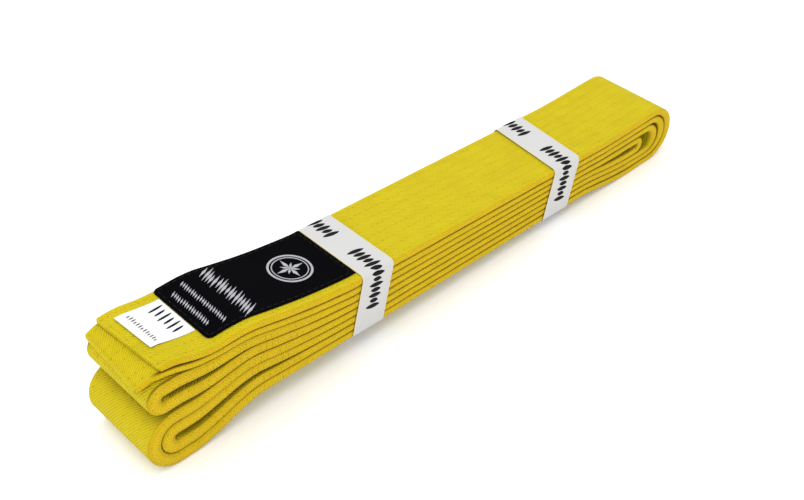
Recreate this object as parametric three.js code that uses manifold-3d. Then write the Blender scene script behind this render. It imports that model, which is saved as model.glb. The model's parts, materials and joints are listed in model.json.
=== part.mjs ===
// A cotton martial arts belt, folded into eight layers and held by two paper bands.
// Millimetres, +Z up. +X runs from the two free ends, which lie on top of the pack, to the end where
// every fold nests in the next. The origin is on the table, under the middle of the pack.
//
// Layers are numbered from the top. The strap runs 1, 8, 5, 4, 3, 6, 7, 2: layers 1 and 2 are its ends.

import * as THREE from 'three';
import { mergeVertices } from 'three/addons/utils/BufferGeometryUtils.js';
import Module from 'manifold-3d';

const wasm = await Module();
wasm.setup();

// Driving dimensions of the pack
const PACK_LENGTH = 305.4;
const BELT_WIDTH = 40.6;
const LAYERS = 8;
const GAP = 0.3; // left between pieces that touch

// Paper bands
const BAND_WIDTH = 16.5;
const NEAR_BAND_X = -43;
const FAR_BAND_X = 73.5;
const PAPER = 0.25;
const BAND_SLACK = 0.45;
const BAND_LAP = 16;
const BAND_CORNER = 1.6;
const GLUE = 0.15;

// Height taken by one layer, with its gap, along the pack
const PITCH_NEAR_BAND = 3.6;
const PITCH_FAR_BAND = 3.1;
const PITCH_NEAR_LOOPS = 6.08;
const PITCH_FREE_ENDS = 3;
const PITCH_FAR_LOOPS = 3.35;

// Where the legs run level into the loops, and where the pack starts to open towards them
const NEAR_LEVEL_X = -135;
const FAR_LEVEL_X = 124;
const NEAR_DIP_X = -98;
const FAR_DIP_X = 84.5;
const ARCH_NEAR = 9.2; // the pack's underside stands this far off the table behind the near dip
const ARCH_FAR = 4.7; // and this far ahead of the far dip

// Openings between layers beside the loops: layer above, extra height, where the opening starts
const NEAR_OPENINGS = [
  { above: 2, height: 0.2, startX: -115 },
  { above: 3, height: 2.4, startX: -100 },
  { above: 4, height: 1.7, startX: -115 },
  { above: 6, height: 3, startX: -70 },
];
const FAR_OPENINGS = [{ above: 4, height: 2.1, startX: 90 }];

// The folds, in the order that the strap runs through them, with the outside of each nose
const FOLDS = [
  { from: 1, to: 8, side: 1, noseX: PACK_LENGTH / 2 },
  { from: 8, to: 5, side: -1, noseX: -PACK_LENGTH / 2 },
  { from: 5, to: 4, side: 1, noseX: 131 },
  { from: 4, to: 3, side: -1, noseX: -149.5 },
  { from: 3, to: 6, side: 1, noseX: 142 },
  { from: 6, to: 7, side: -1, noseX: -146.6 },
  { from: 7, to: 2, side: 1, noseX: 147.9 },
];
const NOSE_SWELL = 1.4; // the strap is this much thicker at a loose nose
const FOLD_STEPS = 8; // facets round each fold

// Free ends, which bend where the near band's front edge holds them
const HINGE_X = NEAR_BAND_X - BAND_WIDTH / 2;
const LABELLED_TIP_X = -142.3;
const PLAIN_TIP_X = -149.8;
const PLAIN_DROOP = 1.8;
const PLAIN_DROOP_X = -143;

// Strap build-up: a cover wrapped around two core plies
const COVER_WALL = 0.4;
const PLY_GAP = 0.28;
const EDGE_ROUND = 0.8;
const SIDE_WALL = 1;
const END_WALL = 2.5;

// Labels on the labelled end
const WOVEN_LABEL = { startX: -119, endX: -51.6, lowY: -16.3, highY: 19.7, thickness: 0.45 };
const SIZE_LABEL = { startX: -138.2, endX: -119.3, lowY: -8.8, highY: 14.2, thickness: 0.3 };
const LABEL_CORNER = 2.4;
const EMBLEM = { x: -67, y: 1.4, outer: 9.4, inner: 7.8, heart: 4.2 };
const LARGE_ROW_X = -97;
const SMALL_ROW_INNER_X = -108.2;
const SMALL_ROW_OUTER_X = -114;

// Sewing: stitches stand out of the thread that joins them, `inset` from an edge
const STITCH = { length: 3, width: 0.6, height: 0.3, pitch: 5, thread: 0.3, inset: 1.6 };

const MATERIALS = {
  cover: { color: 0xd9c422, roughness: 0.86, metalness: 0 },
  core: { color: 0xe9e2cc, roughness: 0.92, metalness: 0 },
  coverThread: { color: 0xcdb71f, roughness: 0.7, metalness: 0 },
  wovenLabel: { color: 0x0b0b0f, roughness: 0.62, metalness: 0 },
  labelThread: { color: 0x17171b, roughness: 0.55, metalness: 0 },
  silverThread: { color: 0xc9c9cf, roughness: 0.42, metalness: 0 },
  sizeLabel: { color: 0xf0f0f2, roughness: 0.5, metalness: 0 },
  paper: { color: 0xf1f1f0, roughness: 0.32, metalness: 0 },
  glue: { color: 0xd8cfb0, roughness: 0.3, metalness: 0 },
};

const group = new THREE.Group();

function addMesh(name, geometry, look) {
  const mesh = new THREE.Mesh(geometry, new THREE.MeshStandardMaterial(MATERIALS[look]));
  mesh.name = name;
  group.add(mesh);
  return mesh;
}

// Share of the way from start to end, held between 0 and 1
function share(value, start, end) {
  return THREE.MathUtils.clamp((value - start) / (end - start), 0, 1);
}

function ease(value, start, end) {
  const t = share(value, start, end);
  return t * t * (3 - 2 * t);
}

// ---- Where each layer lies ----

function underside(x) {
  const arch = THREE.MathUtils.mapLinear(x, NEAR_DIP_X, FAR_DIP_X, ARCH_NEAR, ARCH_FAR);
  return arch * (1 - ease(x, NEAR_DIP_X, NEAR_LEVEL_X)) * (1 - ease(x, FAR_DIP_X, FAR_LEVEL_X));
}

function pitch(layer, x) {
  const held = THREE.MathUtils.lerp(PITCH_NEAR_BAND, PITCH_FAR_BAND, share(x, NEAR_BAND_X, FAR_BAND_X));
  const loose = layer <= 2 ? PITCH_FREE_ENDS : PITCH_NEAR_LOOPS;
  const springBack = Math.pow(share(x, HINGE_X, NEAR_LEVEL_X), 1.2);
  const towardsNear = THREE.MathUtils.lerp(held, loose, springBack);
  return THREE.MathUtils.lerp(towardsNear, PITCH_FAR_LOOPS, ease(x, FAR_DIP_X, FAR_LEVEL_X));
}

function opening(above, x) {
  const near = NEAR_OPENINGS.filter((o) => o.above === above);
  const far = FAR_OPENINGS.filter((o) => o.above === above);
  const height = (list, levelX) => list.reduce((sum, o) => sum + o.height * ease(x, o.startX, levelX), 0);
  return height(near, NEAR_LEVEL_X) + height(far, FAR_LEVEL_X);
}

function layerThickness(layer, x) {
  return pitch(layer, x) - GAP;
}

function layerBottom(layer, x) {
  let z = underside(x);
  for (let lower = LAYERS; lower > layer; lower -= 1) {
    z += pitch(lower, x) + opening(lower - 1, x);
  }
  if (layer === 2) z -= PLAIN_DROOP * ease(x, PLAIN_DROOP_X, PLAIN_TIP_X);
  return z;
}

function station(layer, x) {
  const thickness = layerThickness(layer, x);
  return { x, z: layerBottom(layer, x) + thickness / 2, thickness };
}

// ---- The strap's centreline ----

function foldCentre(fold) {
  const levelX = fold.side > 0 ? FAR_LEVEL_X : NEAR_LEVEL_X;
  const from = station(fold.from, levelX);
  const to = station(fold.to, levelX);
  const radius = Math.abs(from.z - to.z) / 2;
  const swell = fold.side > 0 ? Math.min(NOSE_SWELL, radius * 0.3) : 0;
  const x = fold.noseX - fold.side * (radius + (from.thickness + swell) / 2);
  return { x, radius, swell };
}

function foldStations(fold) {
  const { x, radius, swell } = foldCentre(fold);
  const from = station(fold.from, x);
  const to = station(fold.to, x);
  const stations = [];
  for (let step = 0; step <= FOLD_STEPS; step += 1) {
    const angle = (Math.PI * step) / FOLD_STEPS;
    const across = (1 - Math.cos(angle)) / 2;
    stations.push({
      x: x + fold.side * radius * Math.sin(angle),
      z: THREE.MathUtils.lerp(from.z, to.z, across),
      thickness: from.thickness + swell * Math.sin(angle) ** 2,
    });
  }
  return stations;
}

// Stations along one layer, close together where it curves and far apart between the bands
function legStations(layer, startX, endX) {
  const stops = [-130, -121, -112, -100, -85, -70, HINGE_X, NEAR_BAND_X, FAR_BAND_X, FAR_DIP_X, 98, 112];
  const low = Math.min(startX, endX);
  const high = Math.max(startX, endX);
  const levels = [NEAR_LEVEL_X, ...stops, FAR_LEVEL_X];
  const inside = levels.filter((x) => x > low + 1 && x < high - 1);
  const ordered = startX < endX ? inside : inside.reverse();
  return ordered.map((x) => station(layer, x));
}

function bundleStations() {
  const cutX = HINGE_X + GAP;
  const stations = [station(1, cutX)];
  let x = cutX;
  for (const fold of FOLDS) {
    stations.push(...legStations(fold.from, x, foldCentre(fold).x));
    stations.push(...foldStations(fold));
    x = foldCentre(fold).x;
  }
  stations.push(...legStations(2, x, cutX), station(2, cutX));
  return stations;
}

function freeEndStations(layer, tipX) {
  const droop = layer === 2 ? [(PLAIN_TIP_X + PLAIN_DROOP_X) / 2, PLAIN_DROOP_X] : [];
  const tip = [tipX, ...droop].map((x) => station(layer, x));
  return [...tip, ...legStations(layer, tipX, HINGE_X), station(layer, HINGE_X)];
}

// ---- Solids made from a centreline ----

// Unit normal at each station, to the left of the way along the line
function withNormals(stations) {
  return stations.map((s, i) => {
    const before = stations[Math.max(i - 1, 0)];
    const after = stations[Math.min(i + 1, stations.length - 1)];
    const normal = new THREE.Vector2(before.z - after.z, after.x - before.x).normalize();
    return { ...s, normal };
  });
}

// A closed outline around the line, shifted to its left by offset(s) and thickness(s) thick
function ribbonShape(stations, offset, thickness) {
  const line = withNormals(stations);
  const at = (s, distance) => new THREE.Vector2(s.x, s.z).addScaledVector(s.normal, distance);
  const left = line.map((s) => at(s, offset(s) + thickness(s) / 2));
  const right = line.map((s) => at(s, offset(s) - thickness(s) / 2));
  return new THREE.Shape([...left, ...right.reverse()]);
}

// Extrudes an outline drawn in X and Z across the belt, from lowY to highY
function extrudeAcross(shape, lowY, highY, round = 0) {
  const geometry = new THREE.ExtrudeGeometry(shape, {
    depth: highY - lowY - 2 * round,
    bevelEnabled: round > 0,
    bevelThickness: round,
    bevelSize: round,
    bevelOffset: -round,
    bevelSegments: 1,
    curveSegments: 6,
  });
  geometry.translate(0, 0, round - highY);
  return geometry.rotateX(Math.PI / 2);
}

function toSolid(geometry) {
  const plain = geometry.clone();
  plain.deleteAttribute('normal');
  plain.deleteAttribute('uv');
  const merged = mergeVertices(plain, 1e-4);
  const vertProperties = new Float32Array(merged.attributes.position.array);
  const triVerts = new Uint32Array(merged.index.array);
  return new wasm.Manifold(new wasm.Mesh({ numProp: 3, vertProperties, triVerts }));
}

function toGeometry(solid) {
  const mesh = solid.getMesh();
  const geometry = new THREE.BufferGeometry();
  geometry.setAttribute('position', new THREE.BufferAttribute(new Float32Array(mesh.vertProperties), 3));
  geometry.setIndex(new THREE.BufferAttribute(new Uint32Array(mesh.triVerts), 1));
  return geometry;
}

// Moves the last station along the line, to shorten it or to run it on
function stretchEnd(stations, length) {
  const [last, previous] = [stations.at(-1), stations.at(-2)];
  const way = new THREE.Vector2(last.x - previous.x, last.z - previous.z).setLength(length);
  return [...stations.slice(0, -1), { ...last, x: last.x + way.x, z: last.z + way.y }];
}

function stretchStart(stations, length) {
  return stretchEnd([...stations].reverse(), length).reverse();
}

// The cover is the strap's outside less the room for its core: open at a cut, shut at a sewn tip
function coverGeometry(stations, closedStart) {
  const none = () => 0;
  const half = BELT_WIDTH / 2;
  const outside = extrudeAcross(ribbonShape(stations, none, (s) => s.thickness), -half, half, EDGE_ROUND);
  const run = stretchEnd(stretchStart(stations, closedStart ? -END_WALL : 1), 1);
  const room = ribbonShape(run, none, (s) => s.thickness - 2 * COVER_WALL);
  const inside = extrudeAcross(room, SIDE_WALL - half, half - SIDE_WALL);
  return toGeometry(toSolid(outside).subtract(toSolid(inside)));
}

function plyGeometry(stations, side, closedStart) {
  const thickness = (s) => (s.thickness - 2 * COVER_WALL - 3 * PLY_GAP) / 2;
  const offset = (s) => (side * (thickness(s) + PLY_GAP)) / 2;
  const run = closedStart ? stretchStart(stations, -END_WALL - GAP) : stations;
  const edge = BELT_WIDTH / 2 - SIDE_WALL - GAP;
  return extrudeAcross(ribbonShape(run, offset, thickness), -edge, edge);
}

function addStrap(prefix, stations, closedStart) {
  addMesh(`${prefix}cover`, coverGeometry(stations, closedStart), 'cover');
  addMesh(`${prefix}core_ply_upper`, plyGeometry(stations, 1, closedStart), 'core');
  addMesh(`${prefix}core_ply_lower`, plyGeometry(stations, -1, closedStart), 'core');
}

// ---- Pieces that lie on the free ends ----

// A sheet that follows a layer's upper face, its underside `above` over it
function sheetOnTop(layer, startX, endX, lowY, highY, above, thickness) {
  const stations = [station(layer, startX), ...legStations(layer, startX, endX), station(layer, endX)];
  const offset = (s) => s.thickness / 2 + above + thickness / 2;
  return extrudeAcross(ribbonShape(stations, offset, () => thickness), lowY, highY);
}

// A tall prism over an outline drawn in X and Y, used as a cutter
function planPrism(shape) {
  return new THREE.ExtrudeGeometry(shape, { depth: 80, bevelEnabled: false, curveSegments: 5 });
}

// What the outlines, seen from above, cut out of a sheet
function cutFromSheet(sheet, shapes) {
  const prisms = shapes.map((shape) => toSolid(planPrism(shape)));
  return toGeometry(toSolid(sheet).intersect(prisms.reduce((all, prism) => all.add(prism))));
}

function roundedPlan({ startX, endX, lowY, highY }) {
  const shape = new THREE.Shape();
  const r = LABEL_CORNER;
  shape.moveTo(startX + r, lowY).lineTo(endX, lowY).lineTo(endX, highY).lineTo(startX + r, highY);
  shape.absarc(startX + r, highY - r, r, Math.PI / 2, Math.PI, false);
  shape.absarc(startX + r, lowY + r, r, Math.PI, 1.5 * Math.PI, false);
  return shape;
}

function diamond(x, y, halfX, halfY) {
  return new THREE.Shape([[x - halfX, y], [x, y - halfY], [x + halfX, y], [x, y + halfY]].map(toVector));
}

function toVector([x, y]) {
  return new THREE.Vector2(x, y);
}

function slantedBar(x, y, length, width) {
  const lean = width * 0.4;
  const [x0, x1] = [x - length / 2, x + length / 2];
  const [y0, y1] = [y - width / 2, y + width / 2];
  return new THREE.Shape([[x0, y0 - lean], [x1, y0 + lean], [x1, y1 + lean], [x0, y1 - lean]].map(toVector));
}

function ring(x, y, outer, inner) {
  const shape = new THREE.Shape();
  shape.absarc(x, y, outer, 0, 2 * Math.PI, false);
  const hole = new THREE.Path();
  hole.absarc(x, y, inner, 0, 2 * Math.PI, true);
  shape.holes.push(hole);
  return shape;
}

function rectangle(x0, y0, x1, y1) {
  return new THREE.Shape([[x0, y0], [x1, y0], [x1, y1], [x0, y1]].map(toVector));
}

// A straight thread from one point to another, along X or along Y
function thread(from, to, width) {
  const w = width / 2;
  const grow = STITCH.thread / 2;
  const [dx, dy] = to.x === from.x ? [w, grow] : [grow, w];
  return rectangle(from.x - dx, from.y - dy, to.x + dx, to.y + dy);
}

// The stitches of a row along X or along Y
function stitches(from, to) {
  const length = from.distanceTo(to);
  const count = Math.round(length / STITCH.pitch);
  const way = to.clone().sub(from).normalize();
  return Array.from({ length: count }, (_, i) => {
    const middle = from.clone().addScaledVector(way, ((i + 0.5) * length) / count);
    const start = middle.clone().addScaledVector(way, -STITCH.length / 2);
    return thread(start, start.clone().addScaledVector(way, STITCH.length), STITCH.width);
  });
}

// A closed line of thread round a rectangle
function threadFrame(x0, y0, x1, y1) {
  const w = STITCH.thread / 2;
  const frame = rectangle(x0 - w, y0 - w, x1 + w, y1 + w);
  frame.holes.push(rectangle(x0 + w, y0 + w, x1 - w, y1 - w));
  return frame;
}

function wovenLabelGeometry() {
  const { startX, endX, lowY, highY, thickness } = WOVEN_LABEL;
  const sheet = sheetOnTop(1, startX - 1, endX, lowY, highY, GAP, thickness);
  return cutFromSheet(sheet, [roundedPlan(WOVEN_LABEL)]);
}

// Threads raised over the woven label
function onWovenLabel(shapes) {
  const { startX, endX, lowY, highY, thickness } = WOVEN_LABEL;
  const sheet = sheetOnTop(1, startX + 1, endX - 1, lowY, highY, 2 * GAP + thickness, STITCH.height);
  return cutFromSheet(sheet, shapes);
}

function labelStitches() {
  const { startX, endX, lowY, highY } = WOVEN_LABEL;
  const [x0, x1] = [startX + STITCH.inset, endX - STITCH.inset];
  const [y0, y1] = [lowY + STITCH.inset, highY - STITCH.inset];
  const corners = [[x0, y0], [x1, y0], [x1, y1], [x0, y1]].map(toVector);
  const rows = corners.flatMap((corner, i) => stitches(corner, corners[(i + 1) % 4]));
  return onWovenLabel([threadFrame(x0, y0, x1, y1), ...rows]);
}

// A row of motifs across the label, strung on one thread
function motifRow(x, step, count, makeShape) {
  const middle = (WOVEN_LABEL.lowY + WOVEN_LABEL.highY) / 2;
  const y = (i) => middle + (i - (count - 1) / 2) * step;
  const motifs = Array.from({ length: count }, (_, i) => makeShape(x, y(i), i));
  const string = thread(new THREE.Vector2(x, y(0)), new THREE.Vector2(x, y(count - 1)), STITCH.thread);
  return onWovenLabel([string, ...motifs]);
}

function emblem({ x, y, outer, inner, heart }) {
  const w = STITCH.width / 2;
  const alongX = rectangle(x - outer, y - w, x + outer, y + w);
  const alongY = rectangle(x - w, y - outer, x + w, y + outer);
  return onWovenLabel([ring(x, y, outer, inner), diamond(x, y, heart, heart), alongX, alongY]);
}

function addEmbroidery() {
  addMesh('emblem_embroidery', emblem(EMBLEM), 'silverThread');
  const large = (x, y, i) => (i % 2 ? slantedBar(x, y, 10.4, 1.7) : diamond(x, y, 5.2, 2));
  const small = (x, y) => slantedBar(x, y, 3.4, 0.9);
  addMesh('large_motif_row', motifRow(LARGE_ROW_X, 3.5, 9, large), 'silverThread');
  addMesh('small_motif_row_inner', motifRow(SMALL_ROW_INNER_X, 2.7, 11, small), 'silverThread');
  addMesh('small_motif_row_outer', motifRow(SMALL_ROW_OUTER_X, 2.7, 9, small), 'silverThread');
}

// The seam that shuts a free end, sewn across its upper face
function endSeam(layer, tipX) {
  const x = tipX + STITCH.inset;
  const half = BELT_WIDTH / 2 - EDGE_ROUND - STITCH.length;
  const sheet = sheetOnTop(layer, tipX, x + STITCH.inset, -half - 1, half + 1, GAP, STITCH.height);
  const [from, to] = [new THREE.Vector2(x, -half), new THREE.Vector2(x, half)];
  return cutFromSheet(sheet, [thread(from, to, STITCH.thread), ...stitches(from, to)]);
}

function sizeLabelGeometry() {
  const { startX, endX, lowY, highY, thickness } = SIZE_LABEL;
  const sheet = sheetOnTop(1, startX - 1, endX + 1, lowY, highY, GAP, thickness);
  return cutFromSheet(sheet, [rectangle(startX, lowY, endX, highY)]);
}

function addLabels() {
  addMesh('woven_label', wovenLabelGeometry(), 'wovenLabel');
  addMesh('woven_label_stitches', labelStitches(), 'labelThread');
  addEmbroidery();
  addMesh('size_label', sizeLabelGeometry(), 'sizeLabel');
}

// ---- Paper bands ----

// A strip once round the pack, drawn in Y and Z, with its tail lapped over its head underneath
function bandStations(x) {
  const low = layerBottom(LAYERS, x) - BAND_SLACK - PAPER / 2;
  const high = layerBottom(1, x) + layerThickness(1, x) + BAND_SLACK + PAPER / 2;
  const half = BELT_WIDTH / 2 + BAND_SLACK + PAPER / 2;
  const lap = BAND_LAP / 2;
  const tail = low - PAPER - 2 * GAP - GLUE;
  const corner = (y, z, startAngle) => [0, 1, 2, 3].map((i) => {
    const angle = startAngle + (i * Math.PI) / 6;
    return { x: y + BAND_CORNER * Math.cos(angle), z: z + BAND_CORNER * Math.sin(angle) };
  });
  const inner = half - BAND_CORNER;
  return [
    { x: -lap, z: low },
    ...corner(inner, low + BAND_CORNER, -Math.PI / 2),
    ...corner(inner, high - BAND_CORNER, 0),
    ...corner(-inner, high - BAND_CORNER, Math.PI / 2),
    ...corner(-inner, low + BAND_CORNER, Math.PI),
    { x: -lap - 3, z: low },
    { x: -lap - 0.5, z: tail },
    { x: lap, z: tail },
  ];
}

// Extrudes an outline drawn in Y and Z along the pack's slope, centred on x
function extrudeAlong(shape, x, length) {
  const geometry = new THREE.ExtrudeGeometry(shape, { depth: length, bevelEnabled: false });
  geometry.translate(0, 0, -length / 2);
  const turn = new THREE.Matrix4().makeBasis(
    new THREE.Vector3(0, 1, 0),
    new THREE.Vector3(0, 0, 1),
    new THREE.Vector3(1, 0, 0),
  );
  const middleZ = (layerBottom(LAYERS, x) + layerBottom(1, x) + layerThickness(1, x)) / 2;
  geometry.applyMatrix4(turn).translate(0, 0, -middleZ);
  return { geometry, position: new THREE.Vector3(x, 0, middleZ) };
}

// The slope of the pack's middle line between the bands: the bands sit square to it and slide along it
function packSlope() {
  const middle = (x) => (underside(x) + layerBottom(1, x) + layerThickness(1, x)) / 2;
  return Math.atan2(middle(NEAR_BAND_X) - middle(FAR_BAND_X), FAR_BAND_X - NEAR_BAND_X);
}

function addBand(name, x) {
  const stations = bandStations(x);
  const strip = extrudeAlong(ribbonShape(stations, () => 0, () => PAPER), x, BAND_WIDTH);
  const glueZ = stations.at(-1).z + PAPER / 2 + GAP + GLUE / 2;
  const glueLine = [{ x: -BAND_LAP / 2 + 1, z: glueZ }, { x: BAND_LAP / 2 - 1, z: glueZ }];
  const glue = extrudeAlong(ribbonShape(glueLine, () => 0, () => GLUE), x, BAND_WIDTH - 4);
  const pieces = [
    addMesh(`${name}_strip`, strip.geometry, 'paper'),
    addMesh(`${name}_glue`, glue.geometry, 'glue'),
  ];
  for (const piece of pieces) {
    piece.position.copy(strip.position);
    piece.rotation.y = packSlope();
  }
}

addStrap('belt_', bundleStations(), false);
addStrap('labelled_end_', freeEndStations(1, LABELLED_TIP_X), true);
addStrap('plain_end_', freeEndStations(2, PLAIN_TIP_X), true);
addMesh('labelled_end_seam', endSeam(1, LABELLED_TIP_X), 'coverThread');
addMesh('plain_end_seam', endSeam(2, PLAIN_TIP_X), 'coverThread');
addLabels();
addBand('near_band', NEAR_BAND_X);
addBand('far_band', FAR_BAND_X);

export default group;
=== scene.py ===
"""A yellow cotton martial arts belt, folded into eight layers and held by two printed paper bands.

Metres, +Z up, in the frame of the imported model. Layers are numbered from the top. The strap runs
through layers 1, 8, 5, 4, 3, 6, 7, 2, so layers 1 and 2 are its two free ends. Layer 1 is the
labelled end and layer 2 the plain end.
"""

import json
import math
from collections import namedtuple

import bmesh
import bpy
from mathutils import Matrix, Vector, kdtree, noise


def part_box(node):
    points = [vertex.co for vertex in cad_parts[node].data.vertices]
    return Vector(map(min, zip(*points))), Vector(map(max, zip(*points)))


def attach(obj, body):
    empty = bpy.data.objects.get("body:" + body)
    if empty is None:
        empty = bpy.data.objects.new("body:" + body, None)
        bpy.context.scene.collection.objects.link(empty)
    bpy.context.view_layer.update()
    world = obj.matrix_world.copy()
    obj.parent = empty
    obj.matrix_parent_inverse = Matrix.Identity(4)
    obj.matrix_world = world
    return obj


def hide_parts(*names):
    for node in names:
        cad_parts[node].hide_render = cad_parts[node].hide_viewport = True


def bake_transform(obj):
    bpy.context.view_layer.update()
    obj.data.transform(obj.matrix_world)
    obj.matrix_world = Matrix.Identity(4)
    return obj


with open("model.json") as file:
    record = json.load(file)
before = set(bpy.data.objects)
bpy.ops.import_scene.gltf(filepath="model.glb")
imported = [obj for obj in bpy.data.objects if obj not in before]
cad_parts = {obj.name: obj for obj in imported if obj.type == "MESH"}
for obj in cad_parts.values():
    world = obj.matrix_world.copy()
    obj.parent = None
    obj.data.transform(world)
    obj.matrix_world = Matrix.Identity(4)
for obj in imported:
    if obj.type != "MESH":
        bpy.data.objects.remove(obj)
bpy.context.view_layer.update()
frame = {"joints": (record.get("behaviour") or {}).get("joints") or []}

MM = 0.001

# ---- The camera, and the picture's tone ----

LENS_MM = 57.36
CAMERA_PLACE = Vector((-0.2941, -0.3075, 0.3730))
CAMERA_YAW = math.radians(-42.96)
CAMERA_PITCH = math.radians(40.41)
CAMERA_ROLL = math.radians(-0.27)


def add_camera():
    data = bpy.data.cameras.new("camera")
    data.lens = LENS_MM
    data.clip_start = 0.01
    camera = bpy.data.objects.new("camera", data)
    turn = Matrix.Rotation(CAMERA_YAW, 4, "Z")
    tilt = Matrix.Rotation(math.pi / 2 - CAMERA_PITCH, 4, "X")
    roll = Matrix.Rotation(CAMERA_ROLL, 4, "Z")
    camera.matrix_world = Matrix.Translation(CAMERA_PLACE) @ turn @ tilt @ roll
    bpy.context.scene.collection.objects.link(camera)
    bpy.context.scene.camera = camera
    bpy.context.scene.view_settings.view_transform = "Standard"


add_camera()

# ---- Sizes that the frame gives ----


def box_middle(node_name):
    low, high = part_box(node_name)
    return (low + high) / 2


BELT_LOW, BELT_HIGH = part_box("belt_cover")
HALF_WIDTH = (BELT_HIGH.y - BELT_LOW.y) / 2
HALF_LENGTH = BELT_HIGH.x
LABELLED_TIP_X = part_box("labelled_end_cover")[0].x
PLAIN_TIP_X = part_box("plain_end_cover")[0].x
JOINTS = {joint["name"]: joint for joint in frame["joints"]}
LIFT_PIVOT = Vector(JOINTS["labelled_end_lift"]["pos_m"])
SLIDE = Vector(JOINTS["near_band_slide"]["axis"])
LABEL_LOW, LABEL_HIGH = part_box("woven_label")
LABEL_RUN_ON = 3.6 * MM  # it runs on to the near band's leaning edge
LABEL_HIGH = LABEL_HIGH + Vector((LABEL_RUN_ON, 0, 0))
TAB_LOW, TAB_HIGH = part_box("size_label")

# ---- The strap's route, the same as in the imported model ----

LAYERS = 8
SEEN_GAP = 0.06 * MM  # the cloth layers touch
HINGE_X = LIFT_PIVOT.x
CUT_BEHIND_HINGE = 8.5 * MM
CUT_X = HINGE_X + CUT_BEHIND_HINGE  # where the free ends join the pack, in line and out of sight
NEAR_BAND_X = box_middle("near_band_strip").x
FAR_BAND_X = box_middle("far_band_strip").x

PITCH_NEAR_BAND = 3.6 * MM
PITCH_FAR_BAND = 3.1 * MM
PITCH_NEAR_LOOPS = 6.08 * MM
PITCH_FREE_ENDS = 3 * MM
PITCH_FAR_LOOPS = 3.35 * MM
SPRING_BACK = 1.2  # how late the layers thicken towards the near loops
NEAR_LEVEL_X = -135 * MM
FAR_LEVEL_X = 124 * MM
NEAR_DIP_X = -98 * MM
FAR_DIP_X = 84.5 * MM
ARCH_NEAR = 9.2 * MM
ARCH_FAR = 4.7 * MM

# Openings beside the loops: the layer above, the extra height, where the opening starts
NEAR_OPENINGS = [
    (2, 0.2 * MM, -115 * MM),
    (3, 2.4 * MM, -100 * MM),
    (4, 1.7 * MM, -115 * MM),
    (6, 3 * MM, -70 * MM),
]
FAR_OPENINGS = [(4, 2.1 * MM, 90 * MM)]

# Folds in the order that the strap runs through them: from layer, to layer, side, outside of the nose
FOLDS = [
    (1, 8, 1, HALF_LENGTH),
    (8, 5, -1, -HALF_LENGTH),
    (5, 4, 1, 131 * MM),
    (4, 3, -1, -149.5 * MM),
    (3, 6, 1, 142 * MM),
    (6, 7, -1, -146.6 * MM),
    (7, 2, 1, 147.9 * MM),
]
NOSE_SWELL = 1.4 * MM
NOSE_SWELL_SHARE = 0.3  # most that a tight fold swells, as a share of its radius
PLAIN_DROOP = 1.8 * MM
PLAIN_DROOP_X = -143 * MM

# ---- The strap's own shape ----

LEG_STEP = 3 * MM
FOLD_STEPS = 20
TIP_STEPS = 5
TIP_DEPTH = 1.1 * MM
TIP_SHARE = 0.45  # thickness that is left at the very tip
TIP_CORNER = 1.2 * MM
SEAM_STEPS = 4  # stations just inside a tip, to show its seam
SEAM_STEP = 0.45 * MM
EDGE_DEPTH = 1.05 * MM
EDGE_STEPS = 8
EDGE_POWER = 0.78
SEW_PITCH = 5 * MM  # between the rows of sewing along the strap
SEW_ROWS = 8
SEW_DEPTH = 0.1 * MM
SEW_WIDTH = 0.6 * MM
SEW_MARGIN = 1.6 * MM  # the cloth between two rows is flat from here
SEAM_INSET = 1.6 * MM
SEAM_PINCH = 0.14
SEAM_WIDTH = 0.7 * MM

TIP_LEAN = {1: -0.062, 2: 0.065}  # a tip isn't cut square: metres along the strap for each metre across
LEAN_LENGTH = 14 * MM
TIP_DRAWN = {1: 2.8 * MM, 2: 3.6 * MM}  # how far a tip's near corner has drawn in
DRAWN_LENGTH = 24 * MM

Station = namedtuple("Station", "x z thickness inset lean drawn", defaults=[0.0, 0.0, 0.0])


def mix(start, end, share):
    return start + (end - start) * share


def share_of(value, start, end):
    """Share of the way from start to end, held between 0 and 1."""
    return min(max((value - start) / (end - start), 0.0), 1.0)


def ease(value, start, end):
    t = share_of(value, start, end)
    return t * t * (3 - 2 * t)


def underside(x):
    arch = mix(ARCH_NEAR, ARCH_FAR, (x - NEAR_DIP_X) / (FAR_DIP_X - NEAR_DIP_X))
    return arch * (1 - ease(x, NEAR_DIP_X, NEAR_LEVEL_X)) * (1 - ease(x, FAR_DIP_X, FAR_LEVEL_X))


def pitch(layer, x):
    held = mix(PITCH_NEAR_BAND, PITCH_FAR_BAND, share_of(x, NEAR_BAND_X, FAR_BAND_X))
    loose = PITCH_FREE_ENDS if layer <= 2 else PITCH_NEAR_LOOPS
    towards_near = mix(held, loose, share_of(x, HINGE_X, NEAR_LEVEL_X) ** SPRING_BACK)
    return mix(towards_near, PITCH_FAR_LOOPS, ease(x, FAR_DIP_X, FAR_LEVEL_X))


def opening(above, x):
    """The extra height under a layer, beside the loops."""
    height = 0.0
    for openings, level_x in [(NEAR_OPENINGS, NEAR_LEVEL_X), (FAR_OPENINGS, FAR_LEVEL_X)]:
        height += sum(most * ease(x, start, level_x) for layer, most, start in openings if layer == above)
    return height


def layer_bottom(layer, x):
    z = underside(x)
    for lower in range(LAYERS, layer, -1):
        z += pitch(lower, x) + opening(lower - 1, x)
    if layer == 2:
        z -= PLAIN_DROOP * ease(x, PLAIN_DROOP_X, PLAIN_TIP_X)
    return z


def station(layer, x):
    thickness = pitch(layer, x) - SEEN_GAP
    return Station(x, layer_bottom(layer, x) + thickness / 2, thickness)


def leg(layer, start_x, end_x):
    """Stations along a layer, without those at its two ends."""
    count = max(2, round(abs(end_x - start_x) / LEG_STEP))
    return [station(layer, mix(start_x, end_x, i / count)) for i in range(1, count)]


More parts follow.
